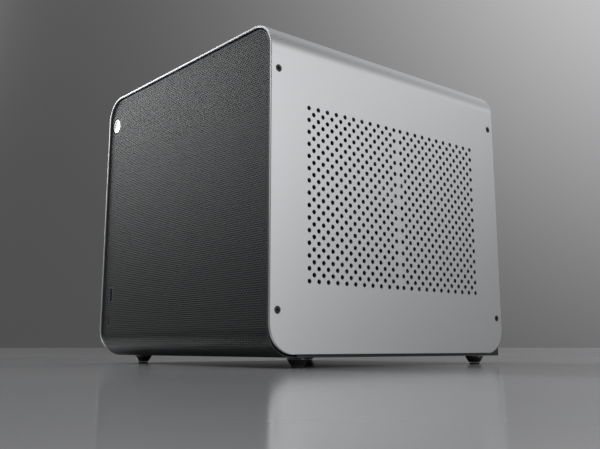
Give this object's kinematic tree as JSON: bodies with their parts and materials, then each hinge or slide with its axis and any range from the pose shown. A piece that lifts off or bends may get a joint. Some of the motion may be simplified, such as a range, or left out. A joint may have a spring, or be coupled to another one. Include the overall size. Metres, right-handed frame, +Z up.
{
  "type": "desktop computer tower",
  "caption": "Near-cube computer tower: bent metal cover with perforated side walls, mesh front that pulls off, power button, front sockets, low feet and a full set of parts inside.",
  "frame": {"origin": "middle of the footprint, on the surface that the feet stand on", "axes": "+Z up, the front faces -Y, +X to the right of someone facing the front"},
  "size_m": [0.28, 0.286, 0.273],
  "materials": {
    "anodised_cover": "satin silver anodised, finely bead-blasted",
    "black_steel": "fine-textured black powder coat",
    "mesh_black": "black powder coat on fine perforated steel",
    "black_plastic": "moulded, fine grain",
    "grey_plastic": "moulded, fine grain",
    "filter_mesh": "woven nylon filter",
    "bright_metal": "plated, bright",
    "button_metal": "spun and clear anodised",
    "screw_black": "black oxide",
    "foot_black": "polished black with a bright ring",
    "pad_rubber": "matt",
    "zinc_plate": "bright zinc plate",
    "circuit_board": "solder-masked laminate",
    "cooler_fins": "mill finish",
    "usb_blue": "moulded tongue in a plated shell",
    "drive_case": "cast and brushed",
    "lead_black": "sleeved wire"
  },
  "bodies": {
    "chassis": {"outer_cover": "anodised_cover", "chassis_floor": "black_steel", "chassis_front_wall": "black_steel", "chassis_rear_panel": "black_steel", "motherboard_tray": "black_steel", "drive_bracket": "black_steel", "power_switch_body": "black_plastic", "usb_a_socket": "usb_blue", "usb_c_socket": "zinc_plate", "front_socket_board": "circuit_board", "front_fan_frame": "black_plastic", "rear_fan_frame": "black_plastic", "rear_fan_guard": "bright_metal", "motherboard": "circuit_board", "processor": "zinc_plate", "memory_stick_1": "black_plastic", "memory_stick_2": "black_plastic", "rear_ports": "zinc_plate", "io_shield": "zinc_plate", "cpu_heatsink": "cooler_fins", "cpu_fan_frame": "black_plastic", "graphics_board": "circuit_board", "graphics_cooler": "grey_plastic", "graphics_bracket": "zinc_plate", "psu_case": "black_steel", "psu_circuit": "circuit_board", "psu_fan_frame": "black_plastic", "psu_inlet": "black_plastic", "hard_drive": "drive_case", "solid_state_drive": "black_plastic", "board_power_lead": "lead_black", "graphics_power_lead": "lead_black", "front_usb_lead": "lead_black", "power_button_lead": "lead_black", "cover_screw_1": "screw_black", "cover_screw_2": "screw_black", "cover_screw_3": "screw_black", "cover_screw_4": "screw_black", "cover_screw_5": "screw_black", "cover_screw_6": "screw_black", "cover_screw_7": "screw_black", "cover_screw_8": "screw_black", "foot_front_left": "foot_black", "foot_pad_front_left": "pad_rubber", "foot_front_right": "foot_black", "foot_pad_front_right": "pad_rubber", "foot_rear_left": "foot_black", "foot_pad_rear_left": "pad_rubber", "foot_rear_right": "foot_black", "foot_pad_rear_right": "pad_rubber"},
    "front_panel": {"front_mesh_panel": "mesh_black", "front_panel_frame": "black_plastic", "dust_filter": "filter_mesh"},
    "power_button": {"power_button": "button_metal"},
    "front_fan": {"front_fan_rotor": "grey_plastic"},
    "rear_fan": {"rear_fan_rotor": "grey_plastic"},
    "cpu_fan": {"cpu_fan_rotor": "grey_plastic"},
    "graphics_fan": {"graphics_fan_rotor": "black_plastic"},
    "psu_fan": {"psu_fan_rotor": "grey_plastic"},
    "psu_switch": {"psu_rocker": "black_plastic"}
  },
  "joints": [
    {"name": "front_panel_pull", "type": "slide", "parent": "chassis", "child": "front_panel", "axis": [0, -1, 0], "range_m": [0, 0.08]},
    {"name": "power_button_press", "type": "slide", "parent": "chassis", "child": "power_button", "axis": [0, 1, 0], "range_m": [0, 0.0015], "stiffness_N_per_m": 1200},
    {"name": "front_fan_spin", "type": "hinge", "parent": "chassis", "child": "front_fan", "pos_m": [0, -0.117, 0.15], "axis": [0, 1, 0], "continuous": true},
    {"name": "rear_fan_spin", "type": "hinge", "parent": "chassis", "child": "rear_fan", "pos_m": [0.008, 0.125, 0.212], "axis": [0, 1, 0], "continuous": true},
    {"name": "cpu_fan_spin", "type": "hinge", "parent": "chassis", "child": "cpu_fan", "pos_m": [0.008, 0.013, 0.2], "axis": [0, 1, 0], "continuous": true},
    {"name": "graphics_fan_spin", "type": "hinge", "parent": "chassis", "child": "graphics_fan", "pos_m": [-0.115, 0.052, 0.17], "axis": [1, 0, 0], "continuous": true},
    {"name": "psu_fan_spin", "type": "hinge", "parent": "chassis", "child": "psu_fan", "pos_m": [0.055, 0.0675, 0.027], "axis": [0, 0, 1], "continuous": true},
    {"name": "psu_switch_rock", "type": "hinge", "parent": "chassis", "child": "psu_switch", "pos_m": [0.008, 0.1389, 0.046], "axis": [-1, 0, 0], "range_deg": [0, 18]}
  ]
}
